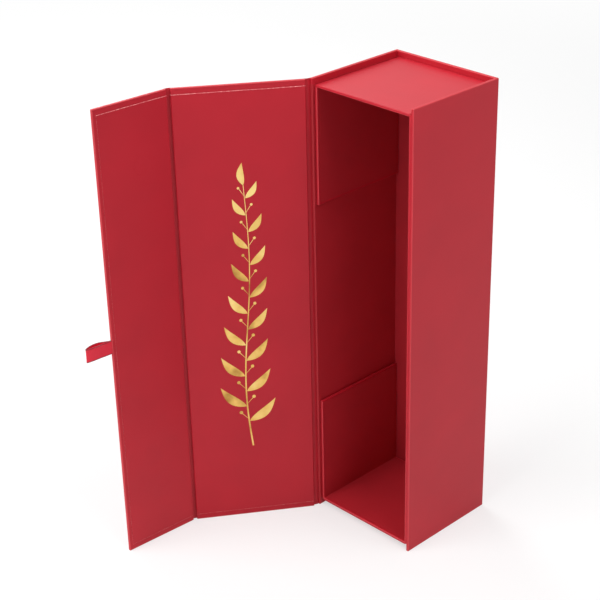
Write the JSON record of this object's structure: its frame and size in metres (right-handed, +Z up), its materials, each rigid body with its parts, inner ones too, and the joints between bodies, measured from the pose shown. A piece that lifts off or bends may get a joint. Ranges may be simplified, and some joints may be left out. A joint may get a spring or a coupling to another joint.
{
  "type": "magnetic gift box",
  "caption": "Tall red book-style gift box for a bottle, standing on end, with a hinged lid, a magnetic flap and a satin ribbon pull.",
  "frame": {"origin": "centre of the box's footprint, on the plane that the box stands on", "axes": "+Z up the standing box; +X from the spine wall to the front wall; -Y out of the mouth; +Y towards the base wall"},
  "size_m": [0.1567, 0.2507, 0.35],
  "materials": {
    "red_paper": "satin",
    "red_lining": "matte",
    "greyboard": "matte",
    "magnet": "satin",
    "steel": "satin",
    "tape": "matte",
    "ribbon_satin": "satin"
  },
  "bodies": {
    "box": {"spine_board": "greyboard", "base_board": "greyboard", "front_board": "greyboard", "front_discs": "steel", "case_wrap": "red_paper", "case_lining": "red_lining", "inner_front_board": "greyboard", "top_end_board": "greyboard", "bottom_end_board": "greyboard", "top_ear_board": "greyboard", "bottom_ear_board": "greyboard", "tray_wrap": "red_paper", "tray_lining": "red_lining", "ear_tapes": "tape", "lid_hinge_paper": "red_paper"},
    "lid": {"lid_board": "greyboard", "lid_wrap": "red_paper", "lid_lining": "red_lining", "flap_hinge_paper": "red_paper"},
    "flap": {"flap_board": "greyboard", "flap_wrap": "red_paper", "flap_lining": "red_lining", "flap_magnets": "magnet", "ribbon_pull": "ribbon_satin"}
  },
  "joints": [
    {"name": "lid_hinge", "type": "hinge", "parent": "box", "child": "lid", "pos_m": [-0.0473, -0.046, 0.175], "axis": [0, 0, 1], "range_deg": [-115, 124.9], "deforming": ["lid_hinge_paper"]},
    {"name": "flap_hinge", "type": "hinge", "parent": "lid", "child": "flap", "pos_m": [-0.10297, -0.1258, 0.175], "axis": [0, 0, 1], "range_deg": [-121.4, 58.6], "deforming": ["flap_hinge_paper"]}
  ]
}
